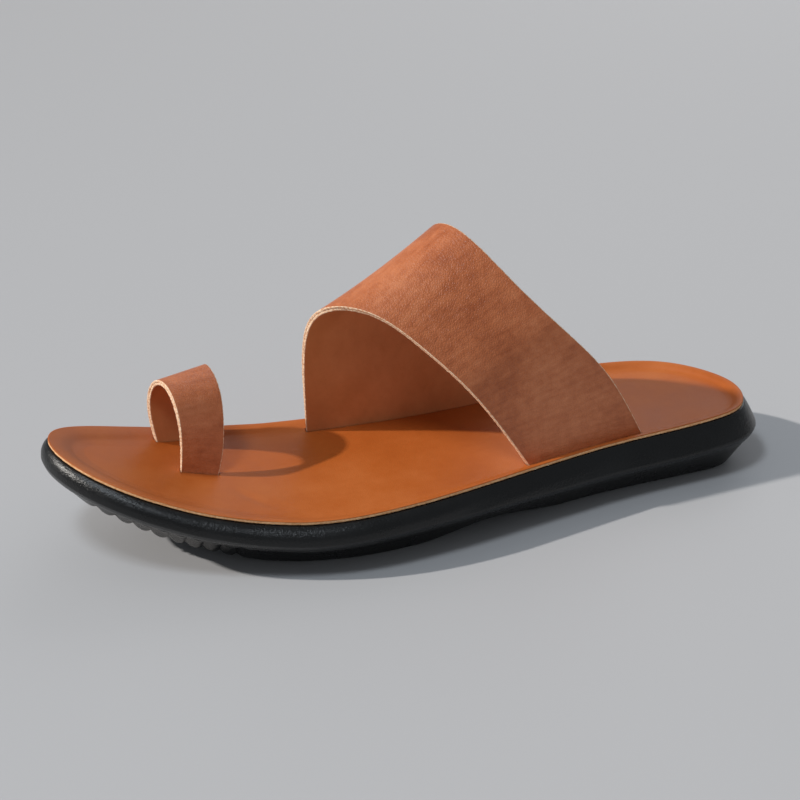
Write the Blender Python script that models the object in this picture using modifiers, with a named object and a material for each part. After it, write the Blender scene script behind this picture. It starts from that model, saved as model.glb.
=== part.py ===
"""Left toe loop sandal: a moulded rubber sole, a dished leather insole, a wide instep strap and a toe loop.

The toe points along -Y, the outer side of the foot is +X, and the sole stands on Z = 0.
Both leather bands go down through slits in the insole into pockets in the sole.
"""

import math

import bmesh
import bpy
import numpy as np

# Driving dimensions, in metres
LENGTH = 0.270  # insole, heel end to toe end
BALL_WIDTH = 0.0825  # insole, across the ball of the foot
STACK = 0.0240  # floor to the insole's edge at the waist
TOE_SPRING = 0.0204  # rise of the toe end
FLARE = 0.0055  # how far the sole's ridge stands outside the insole at the heel
SHOULDER = 0.0005  # sole's top edge outside the insole
SIDE_GROOVE = 0.0009  # depth of the groove along the forefoot's side
SOLE_EDGE_RADIUS = 0.0022  # rounding between side and underside
SOLE_EDGE_RISE = 0.0007  # height of that rounding above the underside
INSOLE_THICKNESS = 0.0013
INSOLE_EDGE_RADIUS = 0.0003
DISH = 0.0022  # depth of the footbed below its rim
RIM_BAND = 0.0042  # width of the sloping rim round heel and waist
TOE_BAND = 0.0085  # the same round the toe
MIDDLE_END = 0.0330  # from either end to where the middle line stops
STRAP_THICKNESS = 0.0020
STRAP_RISE = 0.0770  # insole to the top of the strap's rear edge
LOOP_THICKNESS = 0.0020
LOOP_RISE = 0.0300  # insole to the top of the toe loop
POCKET_DEPTH = 0.0035  # how deep the bands' ends sit in the sole
GAP = 0.0003  # clearance between neighbours
RIB_PITCH = 0.0058
TREAD_GROOVE_WIDTH = 0.0024
TREAD_GROOVE_DEPTH = 0.0014
TREAD_CLEAR = 0.0030  # how far the groove's cutter stands outside the rubber

# Resolution
RING_POINTS = 96
ARCH_STEPS = 32
WIDTH_STEPS = 4
LEG_STEPS = 2
WELD = 0.000004  # points closer than this after a cut become one

# Insole's edge, as shares of BALL_WIDTH from the long axis, at equal steps of a half turn from the heel
# end to the toe end, where the two sides meet
OUTLINE_COLUMNS = ("lateral", "medial")
OUTLINE = (
    (-0.040, 0.040),
    (0.135, 0.230),
    (0.220, 0.420),
    (0.265, 0.515),
    (0.330, 0.500),
    (0.445, 0.415),
    (0.570, 0.350),
    (0.630, 0.370),
    (0.572, 0.384),
    (0.477, 0.322),
    (0.356, 0.230),
    (0.192, 0.125),
    (0.020, -0.020),
)

# Sole's side, from heel (along 0) to toe (along 1). rim, lift and the two drops are shares of STACK,
# spring of TOE_SPRING, and the outward places of ridge, lip and foot of FLARE.
# swell goes from a flat upper side (0) to the full bulge of UPPER_SIDE (1).
SIDE_COLUMNS = (
    "along", "rim", "spring", "lift", "ridge_out", "swell",
    "ridge_drop", "groove", "lip_out", "lip_drop", "foot_out",
)
SIDE = (
    (0.00, 1.10, 0.000, 0.05, 1.00, 0.15, 0.44, 0.0, 0.50, 0.62, -0.70),
    (0.06, 1.07, 0.000, 0.00, 1.00, 0.15, 0.44, 0.0, 0.50, 0.62, -0.80),
    (0.15, 1.03, 0.000, 0.00, 1.00, 0.20, 0.44, 0.0, 0.45, 0.62, -0.90),
    (0.30, 1.01, 0.000, 0.00, 0.95, 0.45, 0.42, 0.0, 0.25, 0.62, -1.20),
    (0.42, 1.00, 0.000, 0.10, 0.80, 0.80, 0.38, 0.2, -0.25, 0.62, -1.60),
    (0.54, 0.975, 0.000, 0.00, 0.75, 1.00, 0.34, 0.7, -0.65, 0.62, -1.70),
    (0.68, 0.93, 0.000, 0.00, 0.85, 1.00, 0.32, 1.0, -0.80, 0.62, -1.90),
    (0.74, 0.93, 0.050, 0.00, 0.85, 1.00, 0.31, 1.0, -0.90, 0.62, -2.00),
    (0.81, 0.93, 0.196, 0.03, 0.80, 1.00, 0.30, 1.0, -0.90, 0.62, -2.10),
    (0.88, 0.93, 0.450, 0.07, 0.75, 1.00, 0.30, 1.0, -0.95, 0.62, -2.10),
    (0.94, 0.93, 0.716, 0.12, 0.65, 1.00, 0.30, 0.7, -0.90, 0.62, -1.90),
    (1.00, 0.93, 1.000, 0.17, 0.55, 1.00, 0.29, 0.3, -0.40, 0.62, -1.30),
)

# Section of the side: from its top edge down to the ridge, and from the ridge down to the lip.
# down is a share of that drop, out of the way from one to the other, sink of SIDE_GROOVE.
UPPER_SIDE_COLUMNS = ("down", "out")
UPPER_SIDE = ((0.00, 0.00), (0.22, 0.50), (0.62, 0.90), (1.00, 1.00))
LOWER_SIDE_COLUMNS = ("down", "out", "sink")
LOWER_SIDE = ((0.30, 0.16, 0.0), (0.52, 0.38, 1.0), (0.70, 0.59, 0.0), (1.00, 1.00, 0.0))

# Footbed across its rim: how far in, as a share of the band, and how deep, as a share of DISH
FOOTBED_COLUMNS = ("inset", "depth")
FOOTBED = ((0.15, 0.02), (0.55, 0.25), (1.00, 0.75), (1.45, 1.00))
INNER_RINGS = (0.70, 0.36)  # rings inside those, as shares of the way out from the middle line

# Width of the sloping rim: how much of the change to TOE_BAND has come, along the length
BAND_CHANGE_COLUMNS = ("along", "change")
BAND_CHANGE = ((0.00, 0.00), (0.60, 0.00), (0.90, 1.00), (1.00, 1.00))

# Bands over the foot, at equal steps from the medial leg to the lateral leg. along is a share of LENGTH
# from the heel end, across of BALL_WIDTH, up of the band's rise, and bow moves the middle of the width
# outwards, as a share of BALL_WIDTH.
BAND_COLUMNS = (
    "front_along", "front_across", "front_up",
    "back_along", "back_across", "back_up", "bow",
)
STRAP = (
    (0.629, -0.309, 0.000, 0.263, -0.422, 0.000, 0.055),
    (0.636, -0.240, 0.260, 0.320, -0.457, 0.300, 0.030),
    (0.640, -0.160, 0.530, 0.377, -0.462, 0.580, 0.010),
    (0.624, -0.030, 0.755, 0.437, -0.382, 0.900, 0.000),
    (0.564, 0.119, 0.775, 0.424, -0.143, 1.040, 0.000),
    (0.503, 0.236, 0.625, 0.364, 0.067, 0.840, 0.000),
    (0.448, 0.318, 0.430, 0.296, 0.171, 0.590, 0.000),
    (0.402, 0.352, 0.213, 0.230, 0.194, 0.325, 0.000),
    (0.363, 0.369, 0.000, 0.180, 0.218, 0.000, -0.008),
)
LOOP = (
    (0.850, -0.239, 0.000, 0.770, -0.344, 0.000, 0.000),
    (0.855, -0.247, 0.303, 0.770, -0.373, 0.317, 0.000),
    (0.855, -0.241, 0.600, 0.771, -0.379, 0.687, 0.000),
    (0.848, -0.189, 0.863, 0.770, -0.315, 0.973, 0.000),
    (0.837, -0.097, 0.953, 0.765, -0.193, 1.033, 0.000),
    (0.829, -0.007, 0.843, 0.761, -0.078, 0.887, 0.000),
    (0.825, 0.050, 0.597, 0.762, -0.008, 0.617, 0.000),
    (0.825, 0.063, 0.307, 0.767, 0.040, 0.293, 0.000),
    (0.828, 0.066, 0.000, 0.777, 0.075, 0.000, 0.000),
)

# Tread: stretches of the length with grooves across the sole, heel first; the plain pads between them rest
INNER_GROOVES = ((0.05, 0.13), (0.21, 0.31), (0.55, 0.60), (0.67, 0.745))  # stop short of the edge
TOE_GROOVES = ((0.755, 0.935),)  # run out on the sides, as notches along the lip
INNER_GROOVE_REACH = 0.88  # where the inner ones stop, as a share of the way out from the middle line


def column(table, names, name):
    return np.array([row[names.index(name)] for row in table])


def monotone(xs, ys, x):
    """Smooth curve through the rows that never overshoots them."""
    step = np.diff(xs)
    slope = np.diff(ys) / step
    inner = np.zeros(len(slope) - 1)
    same = slope[:-1] * slope[1:] > 0
    inner[same] = 2 / (1 / slope[:-1][same] + 1 / slope[1:][same])
    tangent = np.concatenate([[slope[0]], inner, [slope[-1]]])
    x = np.clip(x, xs[0], xs[-1])
    i = np.clip(np.searchsorted(xs, x, side="right") - 1, 0, len(step) - 1)
    t = (x - xs[i]) / step[i]
    rise = (3 - 2 * t) * t * t
    lead = t * (1 - t) ** 2 * step[i] * tangent[i]
    trail = t * t * (t - 1) * step[i] * tangent[i + 1]
    return ys[i] * (1 - rise) + ys[i + 1] * rise + lead + trail


def closed_spline(values, count):
    """Periodic cubic through evenly spaced values, read at evenly spaced places."""
    size = len(values)
    eye = np.eye(size)
    bend = np.linalg.solve(
        4 * eye + np.roll(eye, 1, 0) + np.roll(eye, -1, 0),
        6 * (np.roll(values, 1) - 2 * values + np.roll(values, -1)),
    )
    place = np.arange(count) * size / count
    i = place.astype(int)
    t = place - i
    j = (i + 1) % size
    cubic = ((1 - t) ** 3 - (1 - t)) * bend[i] + (t**3 - t) * bend[j]
    return values[i] * (1 - t) + values[j] * t + cubic / 6


def open_spline(values, places):
    """Natural cubic through evenly spaced rows; places run from 0 to 1."""
    size = len(values)
    matrix = np.eye(size)
    right = np.zeros((size,) + values.shape[1:])
    for i in range(1, size - 1):
        matrix[i, i - 1 : i + 2] = (1, 4, 1)
        right[i] = 6 * (values[i - 1] - 2 * values[i] + values[i + 1])
    bend = np.linalg.solve(matrix, right)
    place = np.asarray(places) * (size - 1)
    i = np.clip(place.astype(int), 0, size - 2)
    t = (place - i)[:, None]
    cubic = ((1 - t) ** 3 - (1 - t)) * bend[i] + (t**3 - t) * bend[i + 1]
    return values[i] * (1 - t) + values[i + 1] * t + cubic / 6


def side_value(name, along):
    """A column of the SIDE table, read anywhere along the length."""
    return monotone(column(SIDE, SIDE_COLUMNS, "along"), column(SIDE, SIDE_COLUMNS, name), along)


def band_width(along):
    """Width of the footbed's sloping rim."""
    places = column(BAND_CHANGE, BAND_CHANGE_COLUMNS, "along")
    change = monotone(places, column(BAND_CHANGE, BAND_CHANGE_COLUMNS, "change"), along)
    return RIM_BAND + (TOE_BAND - RIM_BAND) * change


def rim_height(along):
    return side_value("rim", along) * STACK + side_value("spring", along) * TOE_SPRING


def floor_height(along):
    return side_value("lift", along) * STACK + side_value("spring", along) * TOE_SPRING


def insole_edge():
    """Insole's edge in plan, from the heel end by the lateral side to the toe and back, and its normals."""
    lateral = column(OUTLINE, OUTLINE_COLUMNS, "lateral")
    medial = -column(OUTLINE, OUTLINE_COLUMNS, "medial")
    across = np.concatenate([lateral, medial[-2:0:-1]])
    x = closed_spline(across, RING_POINTS) * BALL_WIDTH
    turn = np.arange(RING_POINTS) * 2 / RING_POINTS
    y = np.cos(math.pi * turn) * LENGTH / 2
    edge = np.stack([x, y], axis=1)
    way = np.roll(edge, -1, 0) - np.roll(edge, 1, 0)
    normal = np.stack([-way[:, 1], way[:, 0]], axis=1)
    return edge, normal / np.linalg.norm(normal, axis=1)[:, None]


def middle_line(plan):
    """For each point of a ring, its place on the line down the middle of the foot."""
    reach = LENGTH / 2 - MIDDLE_END
    across = (plan[:, 0] + np.roll(plan[::-1, 0], 1)) / 2
    return np.column_stack([across, np.clip(plan[:, 1], -reach, reach)])


EDGE, NORMAL = insole_edge()
INWARD = middle_line(EDGE) - EDGE
INWARD /= np.linalg.norm(INWARD, axis=1)[:, None]
ALONG = 0.5 - EDGE[:, 1] / LENGTH
BAND_WIDTH = band_width(ALONG)
RIDGE = EDGE + NORMAL * (side_value("ridge_out", ALONG) * FLARE)[:, None]
CENTRE = (RIDGE.min(0) + RIDGE.max(0)) / 2


def along_of(y):
    """Share of the length, from the heel end, of a place in the part's frame."""
    return np.clip(0.5 - (y + CENTRE[1]) / LENGTH, 0, 1)


def ring(plan, height):
    """One closed row of points, moved so that the sole's box is centred on the origin."""
    flat = plan - CENTRE
    return np.column_stack([flat, np.broadcast_to(height, len(flat))])


def ring_at(plan, height, above):
    """A ring whose points take their height from where each one lies along the length."""
    return ring(plan, height(along_of(plan[:, 1] - CENTRE[1])) + above)


def outset(out):
    """The insole's edge moved out or, where out is negative, in towards the middle line."""
    out = np.broadcast_to(out, len(EDGE))[:, None]
    return EDGE + NORMAL * np.maximum(out, 0) + INWARD * np.maximum(-out, 0)


def drawn_in(plan, share):
    """A ring drawn in towards the middle line, to this share of its way out."""
    middle = middle_line(plan)
    return middle + (plan - middle) * share


def footbed_rings(below):
    """Rings of the dished footbed from its rim inwards, lowered by below."""
    rings = []
    for inset, depth in FOOTBED:
        plan = outset(-inset * BAND_WIDTH)
        rings.append(ring_at(plan, rim_height, -depth * DISH - below))
    for share in INNER_RINGS:
        rings.append(ring_at(drawn_in(plan, share), rim_height, -DISH - below))
    return rings


def mesh_object(name, points, faces, collection):
    mesh = bpy.data.meshes.new(name)
    mesh.from_pydata([tuple(p) for p in points], [], faces)
    work = bmesh.new()
    work.from_mesh(mesh)
    bmesh.ops.recalc_face_normals(work, faces=work.faces)
    work.to_mesh(mesh)
    work.free()
    made = bpy.data.objects.new(name, mesh)
    collection.objects.link(made)
    return made


def loft(name, rings, collection):
    """Closed body through the rings; its first and last are filled across from side to side."""
    count = len(rings[0])
    faces = []
    for row in range(len(rings) - 1):
        for i in range(count):
            j = (i + 1) % count
            faces.append((row * count + i, row * count + j, (row + 1) * count + j, (row + 1) * count + i))
    for base in (0, (len(rings) - 1) * count):
        half = count // 2
        for i in range(half):
            corners = [base + i, base + i + 1, base + count - i - 1, base + (count - i) % count]
            faces.append(tuple(dict.fromkeys(corners)))
    return mesh_object(name, np.concatenate(rings), faces, collection)


def side_rings():
    """Rings of the sole's side, from its top edge down to the flat of its underside."""
    rim = rim_height(ALONG)
    seat = INSOLE_THICKNESS + GAP
    ridge_out = side_value("ridge_out", ALONG) * FLARE
    ridge_drop = side_value("ridge_drop", ALONG) * STACK
    lip_out = side_value("lip_out", ALONG) * FLARE
    lip_drop = side_value("lip_drop", ALONG) * STACK
    foot_out = side_value("foot_out", ALONG) * FLARE
    groove = side_value("groove", ALONG) * SIDE_GROOVE
    swell = side_value("swell", ALONG)
    rings = []
    for down, out in UPPER_SIDE:
        height = rim - seat - (ridge_drop - seat) * down
        share = down + (out - down) * swell
        rings.append(ring(outset(SHOULDER + (ridge_out - SHOULDER) * share), height))
    for down, out, sink in LOWER_SIDE:
        height = rim - ridge_drop - (lip_drop - ridge_drop) * down
        rings.append(ring(outset(ridge_out + (lip_out - ridge_out) * out - groove * sink), height))
    rings.append(ring_at(outset(foot_out), floor_height, SOLE_EDGE_RISE))
    rings.append(ring_at(outset(foot_out - SOLE_EDGE_RADIUS), floor_height, 0))
    return rings


def underside_rings(flat_out):
    """Rings of the underside, inside its edge."""
    drawn = [drawn_in(outset(flat_out), share) for share in INNER_RINGS]
    return [ring_at(plan, floor_height, 0) for plan in drawn]


def crossing(row, y, lateral):
    """Where a ring crosses a given length, on one side: its across and height."""
    half = RING_POINTS // 2
    side = row[1:half] if lateral else row[half + 1 :]
    order = np.argsort(side[:, 1])
    side = side[order]
    return np.array([np.interp(y, side[:, 1], side[:, 0]), np.interp(y, side[:, 1], side[:, 2])])


def tread_cutter(name, rows, places, end_depth, collection):
    """Bars that follow the underside through the rows, from side to side, one at each place."""
    points, faces = [], []
    half_width = TREAD_GROOVE_WIDTH / 2
    for y in places:
        medial = [crossing(row, y, False) for row in rows]
        lateral = [crossing(row, y, True) for row in rows[::-1]]
        path = np.array(medial + lateral)
        way = np.gradient(path, axis=0)
        inward = np.column_stack([-way[:, 1], way[:, 0]])
        inward /= np.linalg.norm(inward, axis=1)[:, None]
        depths = np.full(len(path), TREAD_GROOVE_DEPTH)
        depths[[0, -1]] = end_depth
        start = len(points)
        for place, up, depth in zip(path, inward, depths):
            outer = place - up * TREAD_CLEAR
            inner = place + up * depth
            points.append((outer[0], y - half_width, outer[1]))
            points.append((outer[0], y + half_width, outer[1]))
            points.append((inner[0], y + half_width, inner[1]))
            points.append((inner[0], y - half_width, inner[1]))
        for k in range(len(path) - 1):
            for c in range(4):
                d = (c + 1) % 4
                base = start + 4 * k
                faces.append((base + c, base + d, base + 4 + d, base + 4 + c))
        last = start + 4 * (len(path) - 1)
        faces.append((start + 3, start + 2, start + 1, start))
        faces.append((last, last + 1, last + 2, last + 3))
    return mesh_object(name, points, faces, collection)


def tread_places(stretches):
    """Where the grooves lie along the length, in the part's frame."""
    places = []
    for first, last in stretches:
        count = int((last - first) * LENGTH / RIB_PITCH)
        middle = (0.5 - (first + last) / 2) * LENGTH - CENTRE[1]
        places += [middle + (k - (count - 1) / 2) * RIB_PITCH for k in range(count)]
    return places


def footbed_height(x, y):
    """Height of the footbed's top, read from the distance to the insole's edge."""
    near = np.linalg.norm(EDGE - CENTRE - (x, y), axis=1)
    share = near.min() / BAND_WIDTH[near.argmin()]
    insets = np.append(0.0, column(FOOTBED, FOOTBED_COLUMNS, "inset"))
    depths = np.append(0.0, column(FOOTBED, FOOTBED_COLUMNS, "depth"))
    return rim_height(along_of(np.array([y])))[0] - np.interp(share, insets, depths) * DISH


def band_grid(table, rise, places):
    """Outer face of a band: rows from its medial to its lateral leg, columns from front to back edge."""
    def edge(which):
        across = column(table, BAND_COLUMNS, which + "_across") * BALL_WIDTH
        along = column(table, BAND_COLUMNS, which + "_along")
        up = column(table, BAND_COLUMNS, which + "_up") * rise
        plan = np.column_stack([across, (0.5 - along) * LENGTH]) - CENTRE
        seats = [footbed_height(*plan[0]), footbed_height(*plan[-1])]
        share = np.linspace(0, 1, len(table))
        return np.column_stack([plan, seats[0] * (1 - share) + seats[1] * share + up])

    front = open_spline(edge("front"), places)
    back = open_spline(edge("back"), places)
    bow = open_spline(column(table, BAND_COLUMNS, "bow")[:, None] * BALL_WIDTH, places)
    shares = np.linspace(0, 1, WIDTH_STEPS + 1)
    grid = front[:, None] * (1 - shares)[:, None] + back[:, None] * shares[:, None]
    grid[:, :, 0] += bow * 4 * shares * (1 - shares)
    return grid


def leg_rows(grid, depth):
    """Rows that carry a band's two ends straight on, down by depth."""
    legs = []
    for base, above in ((grid[0], grid[1]), (grid[-1], grid[-2])):
        way = base - above
        way = way / -way[:, 2:]
        legs.append([base + way * depth * k / LEG_STEPS for k in range(1, LEG_STEPS + 1)])
    return legs


def grid_normals(grid):
    down = np.gradient(grid, axis=0)
    across = np.gradient(grid, axis=1)
    normal = np.cross(down, across)
    return normal / np.linalg.norm(normal, axis=2)[:, :, None]


def grid_faces(rows, columns):
    faces = []
    for r in range(rows - 1):
        for c in range(columns - 1):
            first = r * columns + c
            faces.append((first, first + 1, first + columns + 1, first + columns))
    return faces


def sheet(name, grid, thickness, collection):
    """Band of leather: the grid is its outer face."""
    rows, columns = grid.shape[:2]
    faces = grid_faces(rows, columns)
    mesh = bpy.data.meshes.new(name)
    mesh.from_pydata([tuple(p) for p in grid.reshape(-1, 3)], [], faces)
    made = bpy.data.objects.new(name, mesh)
    collection.objects.link(made)
    wall = made.modifiers.new("wall", "SOLIDIFY")
    wall.thickness = thickness
    wall.offset = 1 if facing_in(grid) else -1
    return made


def facing_in(grid):
    """True where the faces of the grid, as listed, look towards the inside of the band."""
    middle = grid[grid.shape[0] // 2, grid.shape[1] // 2]
    first = grid[grid.shape[0] // 2, 0]
    last = grid[grid.shape[0] // 2, -1]
    ahead = grid[grid.shape[0] // 2 + 1, grid.shape[1] // 2]
    return bool(np.cross(last - first, ahead - middle)[2] < 0)


def band(name, table, rise, thickness, collection):
    """A band, with its ends in the sole's pockets."""
    grid = band_grid(table, rise, np.linspace(0, 1, ARCH_STEPS + 1))
    depth = INSOLE_THICKNESS + GAP + POCKET_DEPTH
    medial, lateral = leg_rows(grid, depth)
    whole = np.stack(medial[::-1] + list(grid) + lateral)
    return sheet(name, whole, thickness, collection)


def slit_cutters(name, table, rise, thickness, collection):
    """The band's two legs, larger all round by the gap, to cut the insole's slits and sole's pockets."""
    steps = np.arange(LEG_STEPS + 1) / ARCH_STEPS
    depth = INSOLE_THICKNESS + GAP + POCKET_DEPTH
    for side, places in (("medial", steps), ("lateral", 1 - steps)):
        grid = band_grid(table, rise, places)
        way = (grid[0] - grid[1]) / (grid[1] - grid[0])[:, 2:]
        below = [grid[0] + way * depth / 2, grid[0] + way * depth, grid[0] + way * (depth + GAP)]
        whole = np.stack(below[::-1] + list(grid))
        wider = whole.copy()
        for end, inner in ((0, 1), (-1, -2)):
            out = whole[:, end] - whole[:, inner]
            wider[:, end] += out / np.linalg.norm(out, axis=1)[:, None] * GAP
        normal = grid_normals(wider)
        outward = normal if side_faces_out(wider, normal, side) else -normal
        outer = wider + outward * GAP
        inner_face = wider - outward * (thickness + GAP)
        slab(name + "_" + side + "_cutter", outer, inner_face, collection)


def side_faces_out(grid, normal, side):
    """Outwards is away from the middle of the foot."""
    sideways = normal[:, :, 0].mean()
    return sideways > 0 if side == "lateral" else sideways < 0


def slab(name, outer, inner, collection):
    """Closed body between two grids of the same size."""
    rows, columns = outer.shape[:2]
    count = rows * columns
    faces = []
    for corners in grid_faces(rows, columns):
        faces.append(corners)
        faces.append(tuple(count + k for k in reversed(corners)))
    border = list(range(columns))
    border += [r * columns + columns - 1 for r in range(1, rows)]
    border += [(rows - 1) * columns + c for c in range(columns - 2, -1, -1)]
    border += [r * columns for r in range(rows - 2, 0, -1)]
    for k, first in enumerate(border):
        second = border[(k + 1) % len(border)]
        faces.append((second, first, count + first, count + second))
    points = np.concatenate([outer.reshape(-1, 3), inner.reshape(-1, 3)])
    return mesh_object(name, points, faces, collection)


def cut(target, cutters):
    """Takes every body of a collection out of the target, and leaves clean triangles."""
    modifier = target.modifiers.new("cut " + cutters.name, "BOOLEAN")
    modifier.operation = "DIFFERENCE"
    modifier.operand_type = "COLLECTION"
    modifier.collection = cutters
    weld = target.modifiers.new("weld", "WELD")
    weld.merge_threshold = WELD
    target.modifiers.new("triangles", "TRIANGULATE").ngon_method = "BEAUTY"


def material(name, colour, roughness):
    made = bpy.data.materials.new(name)
    made.use_nodes = True
    shader = made.node_tree.nodes["Principled BSDF"]
    shader.inputs["Base Color"].default_value = (*colour, 1)
    shader.inputs["Roughness"].default_value = roughness
    shader.inputs["Metallic"].default_value = 0
    return made


def new_collection(name, hidden, parent=None):
    made = bpy.data.collections.new(name)
    (parent or bpy.context.scene.collection).children.link(made)
    made.hide_render = hidden
    return made


def build_sole(parts, tread):
    side = side_rings()
    flat_out = side_value("foot_out", ALONG) * FLARE - SOLE_EDGE_RADIUS
    top = footbed_rings(INSOLE_THICKNESS + GAP)[::-1]
    inner = drawn_in(outset(flat_out), INNER_GROOVE_REACH)
    under = [ring_at(inner, floor_height, 0)]
    tread_cutter("toe_tread", side[-5:], tread_places(TOE_GROOVES), -GAP, tread)
    tread_cutter("inner_tread", under, tread_places(INNER_GROOVES), TREAD_GROOVE_DEPTH, tread)
    return loft("sole", top + side + underside_rings(flat_out), parts)


def build_insole(parts):
    rim = rim_height(ALONG)
    top = footbed_rings(0)[::-1]
    edge = [ring(EDGE, rim - INSOLE_EDGE_RADIUS), ring(EDGE, rim - INSOLE_THICKNESS)]
    return loft("insole", top + edge + footbed_rings(INSOLE_THICKNESS), parts)


def main():
    for old in list(bpy.data.objects):
        bpy.data.objects.remove(old, do_unlink=True)
    parts = new_collection("toe_loop_sandal", False)
    cutters = new_collection("cutters", True)
    slits = new_collection("slits", True, cutters)
    sole = build_sole(parts, cutters)
    insole = build_insole(parts)
    strap = band("instep_strap", STRAP, STRAP_RISE, STRAP_THICKNESS, parts)
    loop = band("toe_loop", LOOP, LOOP_RISE, LOOP_THICKNESS, parts)
    slit_cutters("strap", STRAP, STRAP_RISE, STRAP_THICKNESS, slits)
    slit_cutters("loop", LOOP, LOOP_RISE, LOOP_THICKNESS, slits)
    cut(sole, cutters)
    cut(insole, slits)
    for helper in cutters.all_objects:
        helper.hide_render = True
        helper.display_type = "WIRE"
    finishes = {
        sole: material("black_rubber", (0.012, 0.013, 0.015), 0.42),
        insole: material("tan_insole_leather", (0.47, 0.17, 0.055), 0.45),
        strap: material("brown_strap_leather", (0.30, 0.095, 0.045), 0.45),
        loop: material("brown_loop_leather", (0.30, 0.095, 0.045), 0.45),
    }
    for piece, finish in finishes.items():
        piece.data.materials.append(finish)
        piece.data.shade_smooth()
        piece.data.set_sharp_from_angle(angle=math.radians(35))


main()
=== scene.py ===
import math

import bmesh
import bpy
import numpy as np
from mathutils import Matrix, Vector


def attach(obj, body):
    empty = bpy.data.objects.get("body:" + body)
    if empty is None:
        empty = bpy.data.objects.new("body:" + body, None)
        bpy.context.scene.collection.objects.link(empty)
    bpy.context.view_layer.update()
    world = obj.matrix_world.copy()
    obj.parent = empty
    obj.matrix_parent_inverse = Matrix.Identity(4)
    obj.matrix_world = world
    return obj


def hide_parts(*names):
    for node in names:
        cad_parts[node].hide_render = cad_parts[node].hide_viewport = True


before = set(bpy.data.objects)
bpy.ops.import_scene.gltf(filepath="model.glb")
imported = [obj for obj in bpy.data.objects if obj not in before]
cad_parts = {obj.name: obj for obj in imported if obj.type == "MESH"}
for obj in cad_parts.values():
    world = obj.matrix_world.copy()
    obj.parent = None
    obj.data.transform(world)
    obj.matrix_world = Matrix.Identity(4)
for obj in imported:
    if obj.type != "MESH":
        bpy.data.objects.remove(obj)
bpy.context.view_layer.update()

# Studio
# A plain pale floor under a low, nearly sharp key light from the toe's side, so that the toe loop's shadow
# runs back along the footbed. Two soft lights and a pale room fill the shadows. The camera stands where the
# photograph was taken from.
CAMERA_PLACE = (0.65313, -0.18257, 0.36360)
CAMERA_RIGHT = (0.26407, 0.96446, -0.00893)
CAMERA_AIM = (0.0, -0.0063, 0.0423)
LENS = 90.6
SENSOR = 36.0
NEAREST_SEEN = 0.05
KEY_WAY = (0.1010, 0.8229, -0.5592)
KEY_STRENGTH = 2.8
KEY_SPREAD = math.radians(1.8)
KEY_COLOUR = (1.0, 0.955, 0.90)
ROOM_COLOUR = (0.90, 0.95, 1.0)
ROOM_STRENGTH = 0.26
SOFT_LIGHTS = (
    # name, place, size, power, colour
    ("front_soft_light", (0.60, -0.72, 1.76), 0.40, 12.0, (0.84, 0.92, 1.0)),
    ("rear_soft_light", (-1.35, 0.95, 0.85), 1.3, 6.0, (0.95, 0.97, 1.0)),
)
FLOOR_SIZE = 8.0
FLOOR_COLOUR = (0.46, 0.46, 0.47)
FLOOR_ROUGHNESS = 0.75


def place(tree, kind, sockets=None, **settings):
    """Adds a node to a material; sockets gives its inputs a value or another node's output."""
    made = tree.nodes.new(kind)
    for name, value in settings.items():
        setattr(made, name, value)
    for socket, value in (sockets or {}).items():
        if isinstance(value, bpy.types.NodeSocket):
            tree.links.new(value, made.inputs[socket])
        else:
            made.inputs[socket].default_value = value
    return made


def new_finish(name):
    """A new material with its node tree and its shader."""
    made = bpy.data.materials.new(name)
    made.use_nodes = True
    return made, made.node_tree, made.node_tree.nodes["Principled BSDF"]


def add_mesh(name, points, faces):
    mesh = bpy.data.meshes.new(name)
    mesh.from_pydata([tuple(p) for p in points], [], faces)
    made = bpy.data.objects.new(name, mesh)
    bpy.context.scene.collection.objects.link(made)
    return made


half = FLOOR_SIZE / 2
floor = add_mesh(
    "floor",
    [(-half, -half, 0), (half, -half, 0), (half, half, 0), (-half, half, 0)],
    [(0, 1, 2, 3)],
)
floor_finish, tree, shader = new_finish("pale_floor")
shader.inputs["Base Color"].default_value = (*FLOOR_COLOUR, 1)
shader.inputs["Roughness"].default_value = FLOOR_ROUGHNESS
floor.data.materials.append(floor_finish)

key_data = bpy.data.lights.new("key", "SUN")
key_data.energy = KEY_STRENGTH
key_data.angle = KEY_SPREAD
key_data.color = KEY_COLOUR
key = bpy.data.objects.new("key", key_data)
key.rotation_mode = "QUATERNION"
key.rotation_quaternion = Vector(KEY_WAY).to_track_quat("-Z", "Y")
bpy.context.scene.collection.objects.link(key)

for name, where, size, power, colour in SOFT_LIGHTS:
    soft_data = bpy.data.lights.new(name, "AREA")
    soft_data.energy = power
    soft_data.size = size
    soft_data.color = colour
    soft = bpy.data.objects.new(name, soft_data)
    soft.location = where
    soft.rotation_mode = "QUATERNION"
    soft.rotation_quaternion = (-Vector(where)).to_track_quat("-Z", "Y")
    bpy.context.scene.collection.objects.link(soft)

room = bpy.data.worlds.new("pale_room")
room.use_nodes = True
background = room.node_tree.nodes["Background"]
background.inputs["Color"].default_value = (*ROOM_COLOUR, 1)
background.inputs["Strength"].default_value = ROOM_STRENGTH
bpy.context.scene.world = room
bpy.context.scene.view_settings.view_transform = "Standard"

camera_data = bpy.data.cameras.new("camera")
camera_data.lens = LENS
camera_data.sensor_width = SENSOR
camera_data.clip_start = NEAREST_SEEN
camera = bpy.data.objects.new("camera", camera_data)
ahead = (Vector(CAMERA_AIM) - Vector(CAMERA_PLACE)).normalized()
right = Vector(CAMERA_RIGHT)
right = (right - ahead * right.dot(ahead)).normalized()
above = right.cross(ahead)
camera.matrix_world = Matrix([right, above, -ahead]).transposed().to_4x4()
camera.location = CAMERA_PLACE
bpy.context.scene.collection.objects.link(camera)
bpy.context.scene.camera = camera

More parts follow.
